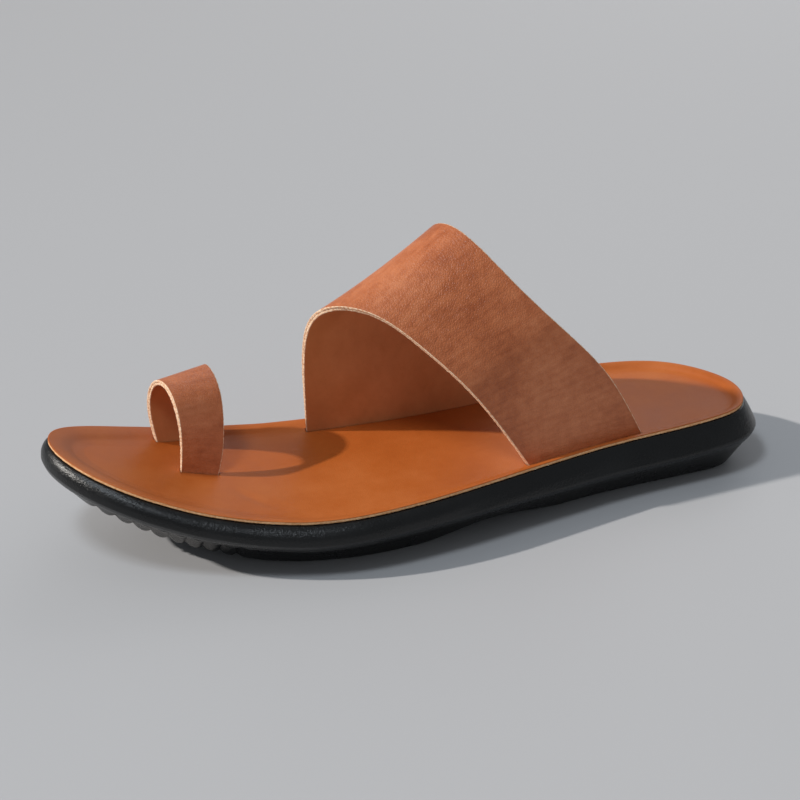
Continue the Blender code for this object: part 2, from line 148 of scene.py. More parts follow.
# Sole
# One moulding of black rubber with a fine satin skin. Its side swells to a soft ridge over a thin lip, and
# the ribs under the toe end in notches along the lip. The insole is cemented to its top.
LENGTH = 0.270
BALL_WIDTH = 0.0825
STACK = 0.0240
TOE_SPRING = 0.0204
FLARE = 0.0055
SHOULDER = 0.0005
SIDE_GROOVE = 0.0009
SOLE_EDGE_RADIUS = 0.0022
SOLE_EDGE_RISE = 0.0007
INSOLE_THICKNESS = 0.0013
DISH = 0.0022
RIM_BAND = 0.0042
TOE_BAND = 0.0085
MIDDLE_END = 0.0330
GAP = 0.0003
RIB_PITCH = 0.0058
TREAD_GROOVE_DEPTH = 0.0014
NOTCH_SHARPNESS = 2.2
NOTCH_START = 0.55
NOTCH_FADE = 0.25
BOX_CENTRE = np.array([0.0040208, 0.0012375])
SOLE_RING_POINTS = 1760

# How far the outer and the inner side stand out, in shares of the ball's width, from the heel to the toe
OUTLINE = (
    (-0.040, 0.040),
    (0.135, 0.230),
    (0.220, 0.420),
    (0.265, 0.515),
    (0.330, 0.500),
    (0.445, 0.415),
    (0.570, 0.350),
    (0.630, 0.370),
    (0.572, 0.384),
    (0.477, 0.322),
    (0.356, 0.230),
    (0.192, 0.125),
    (0.020, -0.020),
)
SIDE_COLUMNS = (
    "along", "rim", "spring", "lift", "ridge_out", "swell",
    "ridge_drop", "groove", "lip_out", "lip_drop", "foot_out",
)
SIDE = (
    (0.00, 1.10, 0.000, 0.05, 1.00, 0.15, 0.44, 0.0, 0.50, 0.62, -0.70),
    (0.06, 1.07, 0.000, 0.00, 1.00, 0.15, 0.44, 0.0, 0.50, 0.62, -0.80),
    (0.15, 1.03, 0.000, 0.00, 1.00, 0.20, 0.44, 0.0, 0.45, 0.62, -0.90),
    (0.30, 1.01, 0.000, 0.00, 0.95, 0.45, 0.42, 0.0, 0.25, 0.62, -1.20),
    (0.42, 1.00, 0.000, 0.10, 0.80, 0.80, 0.38, 0.2, -0.25, 0.62, -1.60),
    (0.54, 0.975, 0.000, 0.00, 0.75, 1.00, 0.34, 0.7, -0.65, 0.62, -1.70),
    (0.68, 0.93, 0.000, 0.00, 0.85, 1.00, 0.32, 1.0, -0.80, 0.62, -1.90),
    (0.74, 0.93, 0.050, 0.00, 0.85, 1.00, 0.31, 1.0, -0.90, 0.62, -2.00),
    (0.81, 0.93, 0.196, 0.03, 0.80, 1.00, 0.30, 1.0, -0.90, 0.62, -2.10),
    (0.88, 0.93, 0.450, 0.07, 0.75, 1.00, 0.30, 1.0, -0.95, 0.62, -2.10),
    (0.94, 0.93, 0.716, 0.12, 0.65, 1.00, 0.30, 0.7, -0.90, 0.62, -1.90),
    (1.00, 0.93, 1.000, 0.17, 0.55, 1.00, 0.29, 0.3, -0.40, 0.62, -1.30),
)
UPPER_SIDE = ((0.00, 0.00), (0.22, 0.50), (0.62, 0.90), (1.00, 1.00))
UPPER_ROWS = (0.0, 0.04, 0.10, 0.18, 0.28, 0.40, 0.53, 0.67, 0.80, 0.90, 1.0)
LOWER_SIDE = ((0.0, 0.0), (0.30, 0.16), (0.52, 0.38), (0.70, 0.59), (1.00, 1.00))
LOWER_ROWS = (0.07, 0.15, 0.24, 0.33, 0.40, 0.45, 0.49, 0.52, 0.55, 0.59, 0.65, 0.73, 0.82, 0.91, 1.0)
GROOVE_PLACE = 0.52
GROOVE_REACH = 0.065
FOOT_ROWS = (0.10, 0.25, 0.45, 0.65, 0.85, 1.0)
# Where the rim's slope ends, in widths of the rim band, and how it falls: widths in, and share of the dish
FLAT_START = 1.45
FOOTBED = ((0.0, 0.0), (0.15, 0.02), (0.55, 0.25), (1.00, 0.75), (FLAT_START, 1.00))
MIDDLE_ROWS = (0.36, 0.70)
BAND_CHANGE = ((0.00, 0.00), (0.60, 0.00), (0.90, 1.00), (1.00, 1.00))
# Stretches of the length with tread grooves: the inner ones stop short of the edge, the toe's run out of it
INNER_GROOVES = ((0.05, 0.13), (0.21, 0.31), (0.55, 0.60), (0.67, 0.745))
TOE_GROOVES = ((0.755, 0.968),)
INNER_GROOVE_REACH = 0.88
UNDERSIDE_ROWS = (0.96, 0.89, 0.87, 0.70, 0.42, 0.14)
WAIST_CREASE = (0.20, 0.50)
WAIST_CREASE_DEPTH = 0.0004
WAIST_CREASE_ENDS = 8
WAIST_CREASE_SOFTNESS = 0.10


def monotone(table, x):
    """Smooth curve through the rows of a two-column table that never overshoots them."""
    xs, ys = np.array(table).T
    step = np.diff(xs)
    slope = np.diff(ys) / step
    inner = np.zeros(len(slope) - 1)
    same = slope[:-1] * slope[1:] > 0
    inner[same] = 2 / (1 / slope[:-1][same] + 1 / slope[1:][same])
    tangent = np.concatenate([[slope[0]], inner, [slope[-1]]])
    x = np.clip(x, xs[0], xs[-1])
    i = np.clip(np.searchsorted(xs, x, side="right") - 1, 0, len(step) - 1)
    t = (x - xs[i]) / step[i]
    rise = (3 - 2 * t) * t * t
    lead = t * (1 - t) ** 2 * step[i] * tangent[i]
    trail = t * t * (t - 1) * step[i] * tangent[i + 1]
    return ys[i] * (1 - rise) + ys[i + 1] * rise + lead + trail


def side_value(name, along):
    """A column of the sole's side table, read anywhere along the length."""
    at = SIDE_COLUMNS.index(name)
    return monotone([(row[0], row[at]) for row in SIDE], along)


def rim_height(along):
    return side_value("rim", along) * STACK + side_value("spring", along) * TOE_SPRING


def floor_height(along):
    return side_value("lift", along) * STACK + side_value("spring", along) * TOE_SPRING


def rim_band(along):
    """Width of the footbed's sloping rim."""
    return RIM_BAND + (TOE_BAND - RIM_BAND) * monotone(BAND_CHANGE, along)


class Ring:
    """The insole's edge in plan at a number of points, and the ways out of it and in to the middle line."""

    def __init__(self, count):
        lateral, medial = np.array(OUTLINE).T
        values = np.concatenate([lateral, -medial[-2:0:-1]])
        size = len(values)
        eye = np.eye(size)
        bend = np.linalg.solve(
            4 * eye + np.roll(eye, 1, 0) + np.roll(eye, -1, 0),
            6 * (np.roll(values, 1) - 2 * values + np.roll(values, -1)),
        )
        where = np.arange(count) * size / count
        i = where.astype(int)
        t = where - i
        j = (i + 1) % size
        cubic = ((1 - t) ** 3 - (1 - t)) * bend[i] + (t**3 - t) * bend[j]
        x = (values[i] * (1 - t) + values[j] * t + cubic / 6) * BALL_WIDTH
        y = np.cos(math.pi * 2 * np.arange(count) / count) * LENGTH / 2
        self.edge = np.stack([x, y], axis=1)
        way = np.roll(self.edge, -1, 0) - np.roll(self.edge, 1, 0)
        normal = np.stack([-way[:, 1], way[:, 0]], axis=1)
        self.normal = normal / np.linalg.norm(normal, axis=1)[:, None]
        inward = self.middle(self.edge) - self.edge
        self.inward = inward / np.linalg.norm(inward, axis=1)[:, None]
        self.along = 0.5 - self.edge[:, 1] / LENGTH
        self.band = rim_band(self.along)

    def middle(self, plan):
        """The point of the middle line that lies beside each point of a row."""
        reach = LENGTH / 2 - MIDDLE_END
        across = (plan[:, 0] + np.roll(plan[::-1, 0], 1)) / 2
        return np.column_stack([across, np.clip(plan[:, 1], -reach, reach)])

    def outset(self, out):
        """The edge moved out or, where out is negative, in towards the middle line."""
        out = np.broadcast_to(out, len(self.edge))[:, None]
        return self.edge + self.normal * np.maximum(out, 0) + self.inward * np.maximum(-out, 0)

    def drawn_in(self, plan, share):
        """The row drawn in towards the middle line by a share of the way."""
        half = len(plan) // 2 + 1
        line = self.middle(plan)
        across = np.interp(line[:, 1], plan[half - 1 :: -1, 1], line[half - 1 :: -1, 0])
        middle = np.column_stack([across, line[:, 1]])
        return middle + (plan - middle) * share

    def at(self, plan, height):
        """A row of points in the part's frame."""
        flat = plan - BOX_CENTRE
        return np.column_stack([flat, np.broadcast_to(height, len(flat))])

    def lying(self, plan, height, above):
        """A row whose points take their height from where each one lies along the length."""
        along = np.clip(0.5 - plan[:, 1] / LENGTH, 0, 1)
        return self.at(plan, height(along) + above)


def ring_faces(count, rows):
    """Faces of a closed body through rows of points; its first and last are filled from side to side."""
    faces = []
    for row in range(rows - 1):
        start = row * count
        for i in range(count):
            j = (i + 1) % count
            faces.append((start + i, start + j, start + count + j, start + count + i))
    for base, turned in ((0, True), ((rows - 1) * count, False)):
        for i in range(count // 2):
            corners = [base + i, base + i + 1, base + count - i - 1, base + (count - i) % count]
            corners = list(dict.fromkeys(corners))
            faces.append(tuple(reversed(corners)) if turned else tuple(corners))
    return faces


def outward(piece):
    """Turns every face of a closed piece to the outside."""
    work = bmesh.new()
    work.from_mesh(piece.data)
    bmesh.ops.recalc_face_normals(work, faces=work.faces)
    work.to_mesh(piece.data)
    work.free()


def tread_places(stretches):
    """Where the tread's grooves lie along the length."""
    places = []
    for first, last in stretches:
        count = int((last - first) * LENGTH / RIB_PITCH)
        middle = (0.5 - (first + last) / 2) * LENGTH - BOX_CENTRE[1]
        places += [middle + (k - (count - 1) / 2) * RIB_PITCH for k in range(count)]
    return np.array(places)


def sole_rows():
    """Rows of the sole from the middle of its top, down its side, to the middle of its underside.

    Beside them: how much of the depth the toe's grooves, and the inner ones, have on each row.
    """
    ring = Ring(SOLE_RING_POINTS)
    along = ring.along
    seat = INSOLE_THICKNESS + GAP
    rim = rim_height(along)
    ridge_out = side_value("ridge_out", along) * FLARE
    ridge_drop = side_value("ridge_drop", along) * STACK
    lip_out = side_value("lip_out", along) * FLARE
    lip_drop = side_value("lip_drop", along) * STACK
    foot_out = side_value("foot_out", along) * FLARE
    groove = side_value("groove", along) * SIDE_GROOVE
    swell = side_value("swell", along)
    rows = []
    for share in MIDDLE_ROWS:
        plan = ring.drawn_in(ring.outset(-FLAT_START * ring.band), share)
        rows.append(ring.lying(plan, rim_height, -DISH - seat))
    for inset, depth in FOOTBED[:0:-1]:
        rows.append(ring.lying(ring.outset(-inset * ring.band), rim_height, -depth * DISH - seat))
    for down in UPPER_ROWS:
        bulge = down + (monotone(UPPER_SIDE, down) - down) * swell
        out = SHOULDER + (ridge_out - SHOULDER) * bulge
        crease = WAIST_CREASE_DEPTH * waist_crease(along, down)
        rows.append(ring.at(ring.outset(out - crease), rim - seat - (ridge_drop - seat) * down))
    toe, inner = [0.0] * len(rows), [0.0] * len(rows)
    for down in LOWER_ROWS:
        sink = math.exp(-(((down - GROOVE_PLACE) / GROOVE_REACH) ** 2))
        out = ridge_out + (lip_out - ridge_out) * monotone(LOWER_SIDE, down) - groove * sink
        rows.append(ring.at(ring.outset(out), rim - ridge_drop - (lip_drop - ridge_drop) * down))
        toe.append(min(max((down - NOTCH_START) / NOTCH_FADE, 0), 1))
        inner.append(0.0)
    lip_height = rim - lip_drop
    foot = ring.lying(ring.outset(foot_out), floor_height, SOLE_EDGE_RISE)
    for share in FOOT_ROWS:
        plan = ring.outset(lip_out + (foot_out - lip_out) * share)
        rows.append(ring.at(plan, lip_height * (1 - share) + foot[:, 2] * share))
        toe.append(1.0)
        inner.append(0.0)
    for turn in (30, 60, 90):
        away = SOLE_EDGE_RADIUS * math.sin(math.radians(turn))
        fall = SOLE_EDGE_RISE * math.cos(math.radians(turn))
        rows.append(ring.lying(ring.outset(foot_out - away), floor_height, fall))
        toe.append(1.0)
        inner.append(0.0)
    for share in UNDERSIDE_ROWS:
        plan = ring.drawn_in(ring.outset(foot_out - SOLE_EDGE_RADIUS), share)
        rows.append(ring.lying(plan, floor_height, 0))
        toe.append(1.0)
        inner.append(1.0 if share <= INNER_GROOVE_REACH else 0.0)
    return np.array(rows), np.array(toe), np.array(inner)


def waist_crease(along, down):
    """Share of the faint crease that runs from the heel's top edge down to the ridge at the waist."""
    start, end = WAIST_CREASE
    place = (along - start) / (end - start)
    inside = np.clip(np.minimum(place, 1 - place) * WAIST_CREASE_ENDS, 0, 1)
    over = np.clip((place - down) / WAIST_CREASE_SOFTNESS, -1, 1)
    return inside * (0.5 + 0.5 * over) * down * (1 - down) * 4


def carved(rows, toe, inner):
    """The rows with the tread's grooves pressed into them, each row by its own share of the depth."""
    around = np.roll(rows, -1, 1) - np.roll(rows, 1, 1)
    normal = np.cross(around, np.gradient(rows, axis=0))
    normal[:, :, 1] = 0
    normal /= np.maximum(np.linalg.norm(normal, axis=2), 1e-12)[:, :, None]
    normal[-len(UNDERSIDE_ROWS):] = (0, 0, -1)
    depth = 0
    for stretches, share in ((TOE_GROOVES, toe), (INNER_GROOVES, inner)):
        away = np.abs(rows[:, :, 1][:, :, None] - tread_places(stretches)).min(axis=2)
        dip = np.clip(1 - away / (RIB_PITCH / 2), 0, 1) ** NOTCH_SHARPNESS
        depth = depth + dip * share[:, None] * TREAD_GROOVE_DEPTH
    return rows - normal * depth[:, :, None]


rows, toe, inner = sole_rows()
faces = ring_faces(SOLE_RING_POINTS, len(rows))
sole = add_mesh("rubber_sole", carved(rows, toe, inner).reshape(-1, 3), faces)
outward(sole)
sole.data.shade_smooth()

RUBBER_BLACK = (0.0030, 0.0032, 0.0035)
RUBBER_DUSTY = (0.0070, 0.0074, 0.0080)
RUBBER_ROUGHNESS = (0.23, 0.34)
RUBBER_RELIEF = 0.00007
RUBBER_SPECULAR = 0.42
PEBBLES_PER_METRE = 1150
SKIN_PER_METRE = 3400
SCUFFS_PER_METRE = 45

rubber, tree, shader = new_finish("moulded_rubber")
where = place(tree, "ShaderNodeTexCoord").outputs["Object"]
pebble = place(
    tree, "ShaderNodeTexVoronoi", {"Vector": where, "Scale": PEBBLES_PER_METRE, "Randomness": 1.0}
)
skin = place(
    tree, "ShaderNodeTexNoise", {"Vector": where, "Scale": SKIN_PER_METRE, "Detail": 3, "Roughness": 0.6}
)
scuff = place(
    tree, "ShaderNodeTexNoise", {"Vector": where, "Scale": SCUFFS_PER_METRE, "Detail": 6, "Roughness": 0.62}
)
rough = place(
    tree, "ShaderNodeMapRange",
    {
        "Value": scuff.outputs["Fac"], "From Min": 0.32, "From Max": 0.70,
        "To Min": RUBBER_ROUGHNESS[0], "To Max": RUBBER_ROUGHNESS[1],
    },
)
dust = place(
    tree, "ShaderNodeMapRange",
    {"Value": scuff.outputs["Fac"], "From Min": 0.45, "From Max": 0.80, "To Min": 0.0, "To Max": 1.0},
)
black = place(tree, "ShaderNodeMix", {0: dust.outputs["Result"]}, data_type="RGBA")
black.inputs[6].default_value = (*RUBBER_BLACK, 1)
black.inputs[7].default_value = (*RUBBER_DUSTY, 1)
height = place(
    tree, "ShaderNodeMath", {0: skin.outputs["Fac"], 1: pebble.outputs["Distance"]}, operation="ADD"
)
bump = place(
    tree, "ShaderNodeBump", {"Height": height.outputs[0], "Distance": RUBBER_RELIEF, "Strength": 1.0}
)
tree.links.new(black.outputs[2], shader.inputs["Base Color"])
tree.links.new(rough.outputs["Result"], shader.inputs["Roughness"])
tree.links.new(bump.outputs["Normal"], shader.inputs["Normal"])
shader.inputs["Specular IOR Level"].default_value = RUBBER_SPECULAR
sole.data.materials.append(rubber)
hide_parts("sole")
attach(sole, "root")

# Insole
# A board of smooth tan leather, dished to the foot, with a sloping rim and a pale cut edge. Four slits, cut
# in the next section, let the bands through. It is cemented to the sole round its whole edge.
INSOLE_RING_POINTS = 960
INSOLE_EDGE_RADIUS = 0.0003
RIM_ROWS = (
    0.06, 0.14, 0.24, 0.36, 0.48, 0.60, 0.71, 0.81, 0.89, 0.95, 1.0, 1.05, 1.12, 1.22, 1.34, FLAT_START,
)
INNER_ROWS = tuple(np.linspace(0.97, 0.11, 32))
RIM_LINE = 0.00003
RIM_LINE_REACH = 0.30
# The knife's fine waves round the cut edge: depth, radians over the length, and start
CUT_WAVES = ((0.00005, 900, 0.0), (0.00004, 2300, 1.0))
CUT_SETBACK = 0.00006
# Shallow hollows worn under the ball and the heel: x, y, reach across and reach along
HOLLOW_DEPTH = 0.0005
HOLLOWS = ((0.006, -0.045, 0.024, 0.034), (-0.010, 0.092, 0.018, 0.026))
# Faint creases where the forefoot bends: from x, y to x, y, with depth and half width
CREASES = (
    (0.0115, -0.0745, 0.0335, -0.0550, 0.00030, 0.0024),
    (0.0190, -0.0640, 0.0330, -0.0500, 0.00012, 0.0018),
)
CREASE_BEND = 0.0012
CREASE_TURN = 3.0
CREASE_ENDS = 3


def creased(row):
    """The row with the footbed's shallow hollows and its creases pressed in."""
    x, y = row[:, 0], row[:, 1]
    for x0, y0, wide, long in HOLLOWS:
        row[:, 2] -= HOLLOW_DEPTH * np.exp(-(((x - x0) / wide) ** 2) - ((y - y0) / long) ** 2)
    for x0, y0, x1, y1, depth, reach in CREASES:
        way = np.array([x1 - x0, y1 - y0])
        size = np.linalg.norm(way)
        along = ((x - x0) * way[0] + (y - y0) * way[1]) / size**2
        side = ((x - x0) * way[1] - (y - y0) * way[0]) / size
        side = side - CREASE_BEND * np.sin(along * CREASE_TURN)
        fade = np.clip(np.minimum(along, 1 - along) * CREASE_ENDS, 0, 1)
        row[:, 2] -= depth * fade * np.exp(-((side / reach) ** 2))
    return row


def insole_rows():
    """Rows of the insole from the middle of its underside, round its cut edge, to the middle of its top.

    Beside them: the number of the cut edge's first row, and of the row after its last.
    """
    ring = Ring(INSOLE_RING_POINTS)
    rim = rim_height(ring.along)
    rows = []
    for share in MIDDLE_ROWS:
        plan = ring.drawn_in(ring.outset(-FLAT_START * ring.band), share)
        rows.append(ring.lying(plan, rim_height, -DISH - INSOLE_THICKNESS))
    for inset, depth in FOOTBED[:0:-1]:
        plan = ring.outset(-inset * ring.band)
        rows.append(ring.lying(plan, rim_height, -depth * DISH - INSOLE_THICKNESS))
    first_edge = len(rows)
    rough_cut = sum(depth * np.sin(ring.along * turns + start) for depth, turns, start in CUT_WAVES)
    for down in (1.0, 0.75, 0.5, 0.28):
        rows.append(ring.at(ring.outset(rough_cut - CUT_SETBACK), rim - INSOLE_THICKNESS * down))
    last_edge = len(rows)
    for turn in (0, 30, 60, 90):
        away = INSOLE_EDGE_RADIUS * (1 - math.cos(math.radians(turn)))
        rise = INSOLE_EDGE_RADIUS * (1 - math.sin(math.radians(turn)))
        rows.append(ring.at(ring.outset(-away), rim - rise))
    for inset in RIM_ROWS:
        plan = ring.outset(-INSOLE_EDGE_RADIUS - inset * (ring.band - INSOLE_EDGE_RADIUS))
        line = RIM_LINE * math.exp(-(((inset - 1.0) / RIM_LINE_REACH) ** 2))
        rows.append(ring.lying(plan, rim_height, -monotone(FOOTBED, inset) * DISH - line))
    plan = ring.outset(-INSOLE_EDGE_RADIUS - FLAT_START * (ring.band - INSOLE_EDGE_RADIUS))
    for share in INNER_ROWS:
        rows.append(creased(ring.lying(ring.drawn_in(plan, share), rim_height, -DISH)))
    return np.array(rows), first_edge, last_edge


rows, first_edge, last_edge = insole_rows()
insole = add_mesh("leather_insole", rows.reshape(-1, 3), ring_faces(INSOLE_RING_POINTS, len(rows)))
slots = [
    1 if first_edge <= min(face.vertices) // INSOLE_RING_POINTS <= last_edge - 1 else 0
    for face in insole.data.polygons
]
insole.data.polygons.foreach_set("material_index", slots)
outward(insole)
insole.data.shade_smooth()


def new_effect(name, inputs, outputs):
    """An empty node group with named sockets: its tree, its inputs' outputs, and its end node."""
    group = bpy.data.node_groups.new(name, "ShaderNodeTree")
    for label, kind, value in inputs:
        socket = group.interface.new_socket(label, in_out="INPUT", socket_type="NodeSocket" + kind)
        if value is not None:
            socket.default_value = value
    for label, kind in outputs:
        group.interface.new_socket(label, in_out="OUTPUT", socket_type="NodeSocket" + kind)
    return group, group.nodes.new("NodeGroupInput").outputs, group.nodes.new("NodeGroupOutput").inputs


def with_effect(tree, group, sockets):
    """Places an effect in a material with its own values, and gives its outputs."""
    return place(tree, "ShaderNodeGroup", sockets, node_tree=group).outputs


# The hide's grain: small rounded cells parted by fine creases, with pores and a fine nap over them.
hide_grain, given, told = new_effect(
    "hide_grain",
    [("Vector", "Vector", None), ("Cells per metre", "Float", 1100.0), ("Fine grain", "Float", 0.4)],
    [("Height", "Float"), ("Pores", "Float")],
)
stray = place(hide_grain, "ShaderNodeTexNoise", {"Vector": given["Vector"], "Scale": 420, "Detail": 2})
drift = place(
    hide_grain, "ShaderNodeVectorMath", {0: stray.outputs["Color"], "Scale": 0.0011}, operation="SCALE"
)
bent = place(
    hide_grain, "ShaderNodeVectorMath", {0: given["Vector"], 1: drift.outputs[0]}, operation="ADD"
)
cells = place(
    hide_grain, "ShaderNodeTexVoronoi",
    {"Vector": bent.outputs[0], "Scale": given["Cells per metre"]}, feature="DISTANCE_TO_EDGE",
)
domes = place(
    hide_grain, "ShaderNodeMapRange",
    {"Value": cells.outputs["Distance"], "From Min": 0.0, "From Max": 0.22},
    interpolation_type="SMOOTHSTEP",
)
nap = place(
    hide_grain, "ShaderNodeTexNoise",
    {"Vector": given["Vector"], "Scale": 4800, "Detail": 4, "Roughness": 0.65},
)
fine = place(
    hide_grain, "ShaderNodeMath", {0: nap.outputs["Fac"], 1: given["Fine grain"]}, operation="MULTIPLY"
)
total = place(
    hide_grain, "ShaderNodeMath", {0: domes.outputs["Result"], 1: fine.outputs[0]}, operation="ADD"
)
hide_grain.links.new(total.outputs[0], told["Height"])
pits = place(hide_grain, "ShaderNodeTexVoronoi", {"Vector": bent.outputs[0], "Scale": 900})
pores = place(
    hide_grain, "ShaderNodeMapRange",
    {"Value": pits.outputs["Distance"], "From Min": 0.22, "From Max": 0.05},
    interpolation_type="SMOOTHSTEP",
)
hide_grain.links.new(pores.outputs["Result"], told["Pores"])

# The hide's tone: broad clouds, smaller mottling and drawn-out streaks, mixed between three colours.
hide_tone, given, told = new_effect(
    "hide_tone",
    [
        ("Vector", "Vector", None), ("Streak vector", "Vector", None),
        ("Dark", "Color", None), ("Middle", "Color", None), ("Light", "Color", None),
        ("Clouds per metre", "Float", 30.0), ("Mottle", "Float", 0.5), ("Streaks", "Float", 0.3),
    ],
    [("Color", "Color"), ("Tone", "Float")],
)
clouds = place(
    hide_tone, "ShaderNodeTexNoise",
    {"Vector": given["Vector"], "Scale": given["Clouds per metre"], "Detail": 4, "Roughness": 0.55},
)
mottle = place(
    hide_tone, "ShaderNodeTexNoise",
    {"Vector": given["Vector"], "Scale": 310, "Detail": 6, "Roughness": 0.7},
)
streak = place(
    hide_tone, "ShaderNodeTexNoise",
    {"Vector": given["Streak vector"], "Scale": 1.0, "Detail": 5, "Roughness": 0.6},
)


def added(tree, base, noise, amount):
    """base plus the noise about its middle, times an amount."""
    centred = place(tree, "ShaderNodeMath", {0: noise, 1: 0.5}, operation="SUBTRACT")
    scaled = place(tree, "ShaderNodeMath", {0: centred.outputs[0], 1: amount}, operation="MULTIPLY")
    return place(tree, "ShaderNodeMath", {0: base, 1: scaled.outputs[0]}, operation="ADD").outputs[0]


tone = added(hide_tone, clouds.outputs["Fac"], mottle.outputs["Fac"], given["Mottle"])
tone = added(hide_tone, tone, streak.outputs["Fac"], given["Streaks"])
low = place(hide_tone, "ShaderNodeMapRange", {"Value": tone, "From Min": 0.28, "From Max": 0.50})
high = place(hide_tone, "ShaderNodeMapRange", {"Value": tone, "From Min": 0.50, "From Max": 0.74})
first = place(
    hide_tone, "ShaderNodeMix", {0: low.outputs[0], 6: given["Dark"], 7: given["Middle"]}, data_type="RGBA"
)
second = place(
    hide_tone, "ShaderNodeMix",
    {0: high.outputs[0], 6: first.outputs[2], 7: given["Light"]}, data_type="RGBA",
)
hide_tone.links.new(second.outputs[2], told["Color"])
hide_tone.links.new(tone, told["Tone"])

# Cut fibres: fine pale strands along a raw edge.
cut_fibres, given, told = new_effect(
    "cut_fibres",
    [
        ("Vector", "Vector", None), ("Strand vector", "Vector", None),
        ("Pale", "Color", None), ("Deep", "Color", None),
    ],
    [("Color", "Color"), ("Height", "Float")],
)
strands = place(
    cut_fibres, "ShaderNodeTexNoise",
    {"Vector": given["Strand vector"], "Scale": 1.0, "Detail": 4, "Roughness": 0.7},
)
clumps = place(
    cut_fibres, "ShaderNodeTexNoise",
    {"Vector": given["Vector"], "Scale": 1300, "Detail": 3, "Roughness": 0.6},
)
fibre = added(cut_fibres, strands.outputs["Fac"], clumps.outputs["Fac"], 0.9)
share = place(cut_fibres, "ShaderNodeMapRange", {"Value": fibre, "From Min": 0.30, "From Max": 0.68})
shade = place(
    cut_fibres, "ShaderNodeMix", {0: share.outputs[0], 6: given["Deep"], 7: given["Pale"]}, data_type="RGBA"
)
cut_fibres.links.new(shade.outputs[2], told["Color"])
cut_fibres.links.new(fibre, told["Height"])


def stretched(tree, vector, scale):
    """The same coordinates with their own scale each way."""
    return place(tree, "ShaderNodeMapping", {"Vector": vector, "Scale": scale}).outputs["Vector"]


PLAIN_STREAKS = (180, 30, 180)
PORE_SHARE = 0.22
PORE_DARKNESS = 0.45


def hide_finish(name, tones, clouds_per_metre, mottle, streaks, cells_per_metre, relief, rough, lay=None):
    """Leather: its dark, middle and light tones, its grain's relief and its range of roughness.

    With lay, the streaks follow the band and lay is how fine they are along it and across it.
    """
    made, tree, shader = new_finish(name)
    where = place(tree, "ShaderNodeTexCoord").outputs["Object"]
    if lay:
        streak_way = stretched(tree, place(tree, "ShaderNodeUVMap", uv_map="lay").outputs["UV"], lay)
    else:
        streak_way = stretched(tree, where, PLAIN_STREAKS)
    grain = with_effect(tree, hide_grain, {"Vector": where, "Cells per metre": cells_per_metre})
    colour = with_effect(
        tree, hide_tone,
        {
            "Vector": where, "Streak vector": streak_way,
            "Dark": (*tones[0], 1), "Middle": (*tones[1], 1), "Light": (*tones[2], 1),
            "Clouds per metre": clouds_per_metre, "Mottle": mottle, "Streaks": streaks,
        },
    )
    pore_share = place(tree, "ShaderNodeMath", {0: grain["Pores"], 1: PORE_SHARE}, operation="MULTIPLY")
    spotted = place(tree, "ShaderNodeMix", {0: pore_share.outputs[0], 6: colour["Color"]}, data_type="RGBA")
    spotted.inputs[7].default_value = (*(c * PORE_DARKNESS for c in tones[0]), 1)
    tree.links.new(spotted.outputs[2], shader.inputs["Base Color"])
    gloss = place(
        tree, "ShaderNodeMapRange",
        {"Value": colour["Tone"], "From Min": 0.3, "From Max": 0.7, "To Min": rough[0], "To Max": rough[1]},
    )
    tree.links.new(gloss.outputs[0], shader.inputs["Roughness"])
    bump = place(tree, "ShaderNodeBump", {"Height": grain["Height"], "Distance": relief, "Strength": 1.0})
    tree.links.new(bump.outputs["Normal"], shader.inputs["Normal"])
    return made


RAW_RELIEF = 0.00012
RAW_RELIEF_STRENGTH = 0.9
RAW_ROUGHNESS = 0.85


def raw_finish(name, pale, deep, strand_scale, by_lay):
    """A raw edge: its two colours, how fine its strands are each way, and whether they follow the lay."""
    made, tree, shader = new_finish(name)
    where = place(tree, "ShaderNodeTexCoord").outputs["Object"]
    way = place(tree, "ShaderNodeUVMap", uv_map="lay").outputs["UV"] if by_lay else where
    fibres = with_effect(
        tree, cut_fibres,
        {
            "Vector": where, "Strand vector": stretched(tree, way, strand_scale),
            "Pale": (*pale, 1), "Deep": (*deep, 1),
        },
    )
    tree.links.new(fibres["Color"], shader.inputs["Base Color"])
    bump = place(
        tree, "ShaderNodeBump",
        {"Height": fibres["Height"], "Distance": RAW_RELIEF, "Strength": RAW_RELIEF_STRENGTH},
    )
    tree.links.new(bump.outputs["Normal"], shader.inputs["Normal"])
    shader.inputs["Roughness"].default_value = RAW_ROUGHNESS
    return made


TAN_TONES = ((0.375, 0.084, 0.012), (0.435, 0.106, 0.018), (0.495, 0.138, 0.032))
TAN_SPECULAR = 0.22
tan = hide_finish(
    "tan_leather", TAN_TONES, clouds_per_metre=22.0, mottle=0.25, streaks=0.12,
    cells_per_metre=1500.0, relief=0.000020, rough=(0.44, 0.54),
)
tan.node_tree.nodes["Principled BSDF"].inputs["Specular IOR Level"].default_value = TAN_SPECULAR
insole_cut = raw_finish(
    "insole_cut_edge", pale=(0.98, 0.60, 0.32), deep=(0.74, 0.34, 0.13),
    strand_scale=(260, 260, 2600), by_lay=False,
)
insole.data.materials.append(tan)
insole.data.materials.append(insole_cut)
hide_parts("insole")
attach(insole, "root")

